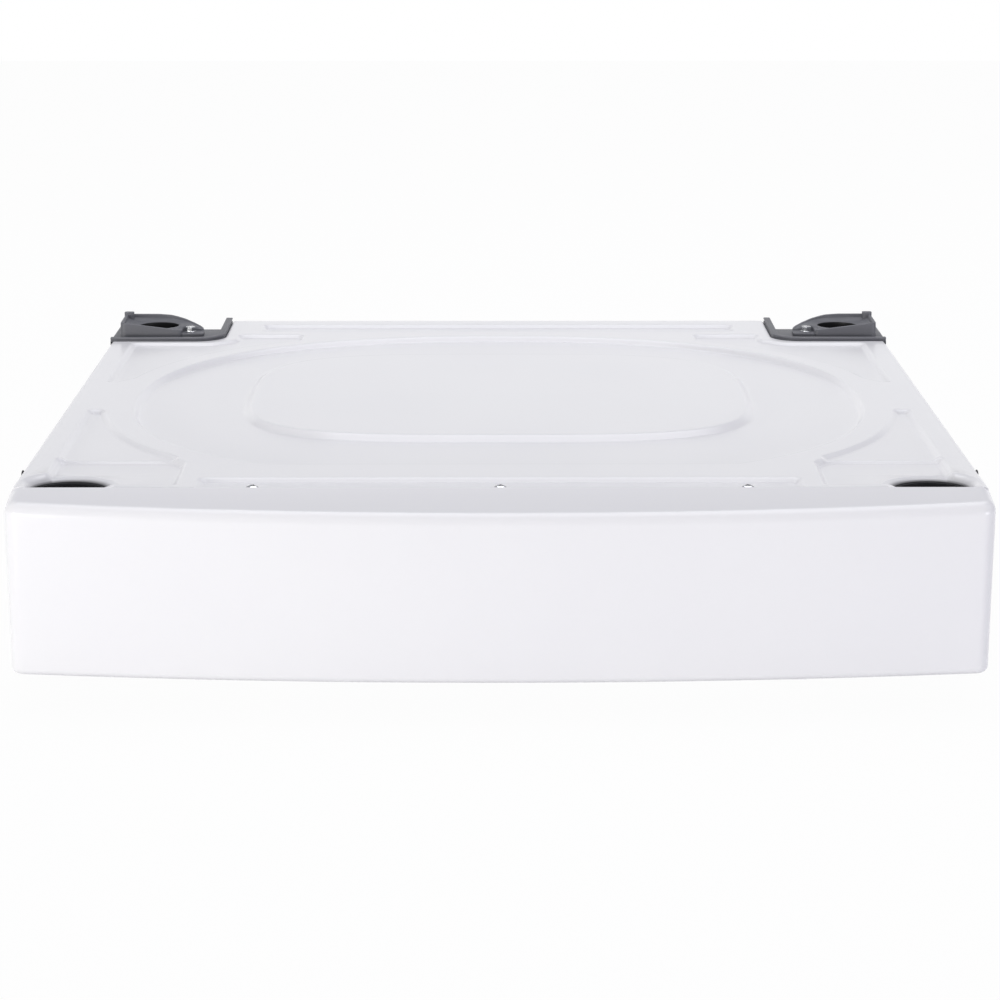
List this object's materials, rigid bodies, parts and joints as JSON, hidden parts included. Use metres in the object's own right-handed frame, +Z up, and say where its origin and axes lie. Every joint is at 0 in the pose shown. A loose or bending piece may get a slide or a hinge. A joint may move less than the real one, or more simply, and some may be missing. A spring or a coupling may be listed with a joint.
{
  "type": "laundry pedestal",
  "caption": "Low drawerless riser for a front-loading washer or dryer, with a bowed front, a pressed deck with wells and cups for the machine's feet, and levelling feet.",
  "frame": {"origin": "on the floor, in the middle of the footprint", "axes": "+Z up, +Y towards the back, -Y towards the bowed front, +X to the right as seen from the front"},
  "size_m": [0.711, 0.781, 0.1755],
  "materials": {
    "white_paint": "semi-gloss white enamel",
    "galvanised_steel": "galvanised sheet",
    "grey_paint": "satin dark grey",
    "grey_plastic": "moulded, fine grain",
    "black_plastic": "moulded",
    "bright_plating": "bright plated",
    "white_screw": "white enamel",
    "black_screw": "black oxide",
    "zinc_plating": "zinc plated",
    "rubber": "matt black"
  },
  "bodies": {
    "riser": {"top_deck": "white_paint", "front_panel": "white_paint", "left_side_panel": "white_paint", "right_side_panel": "white_paint", "rear_panel": "white_paint", "base_front_rail": "galvanised_steel", "base_rear_rail": "galvanised_steel", "left_deck_stiffener": "galvanised_steel", "right_deck_stiffener": "galvanised_steel", "front_left_post": "galvanised_steel", "front_right_post": "galvanised_steel", "rear_left_post": "galvanised_steel", "rear_right_post": "galvanised_steel", "rear_left_bracket": "grey_paint", "rear_right_bracket": "grey_paint", "rear_left_foot_cup": "grey_plastic", "rear_right_foot_cup": "grey_plastic", "front_left_foot_cup": "black_plastic", "front_right_foot_cup": "black_plastic", "cup_bolts": "bright_plating", "cup_washers": "bright_plating", "cup_nuts": "bright_plating", "deck_screws": "white_screw", "side_screws": "black_screw", "base_screws": "zinc_plating", "weld_nuts": "zinc_plating", "lock_nuts": "zinc_plating"},
    "front_left_pad": {"front_left_foot_pad": "rubber"},
    "front_left_stem": {"front_left_foot_stem": "zinc_plating"},
    "front_right_pad": {"front_right_foot_pad": "rubber"},
    "front_right_stem": {"front_right_foot_stem": "zinc_plating"},
    "rear_left_pad": {"rear_left_foot_pad": "rubber"},
    "rear_left_stem": {"rear_left_foot_stem": "zinc_plating"},
    "rear_right_pad": {"rear_right_foot_pad": "rubber"},
    "rear_right_stem": {"rear_right_foot_stem": "zinc_plating"}
  },
  "joints": [
    {"name": "front_left_foot_travel", "type": "slide", "parent": "riser", "child": "front_left_pad", "axis": [0, 0, -1], "range_m": [0, 0.0127]},
    {"name": "front_left_foot_turn", "type": "hinge", "parent": "front_left_pad", "child": "front_left_stem", "pos_m": [-0.3, -0.2345, 0.012], "axis": [0, 0, -1], "range_deg": [0, 2880]},
    {"name": "front_right_foot_travel", "type": "slide", "parent": "riser", "child": "front_right_pad", "axis": [0, 0, -1], "range_m": [0, 0.0127]},
    {"name": "front_right_foot_turn", "type": "hinge", "parent": "front_right_pad", "child": "front_right_stem", "pos_m": [0.3, -0.2345, 0.012], "axis": [0, 0, -1], "range_deg": [0, 2880]},
    {"name": "rear_left_foot_travel", "type": "slide", "parent": "riser", "child": "rear_left_pad", "axis": [0, 0, -1], "range_m": [0, 0.0127]},
    {"name": "rear_left_foot_turn", "type": "hinge", "parent": "rear_left_pad", "child": "rear_left_stem", "pos_m": [-0.3, 0.3235, 0.012], "axis": [0, 0, -1], "range_deg": [0, 2880]},
    {"name": "rear_right_foot_travel", "type": "slide", "parent": "riser", "child": "rear_right_pad", "axis": [0, 0, -1], "range_m": [0, 0.0127]},
    {"name": "rear_right_foot_turn", "type": "hinge", "parent": "rear_right_pad", "child": "rear_right_stem", "pos_m": [0.3, 0.3235, 0.012], "axis": [0, 0, -1], "range_deg": [0, 2880]}
  ],
  "couplings": [
    {"joint": "front_left_foot_turn", "follows": "front_left_foot_travel", "rad_per_m": 3957.9},
    {"joint": "front_right_foot_turn", "follows": "front_right_foot_travel", "rad_per_m": 3957.9},
    {"joint": "rear_left_foot_turn", "follows": "rear_left_foot_travel", "rad_per_m": 3957.9},
    {"joint": "rear_right_foot_turn", "follows": "rear_right_foot_travel", "rad_per_m": 3957.9}
  ]
}
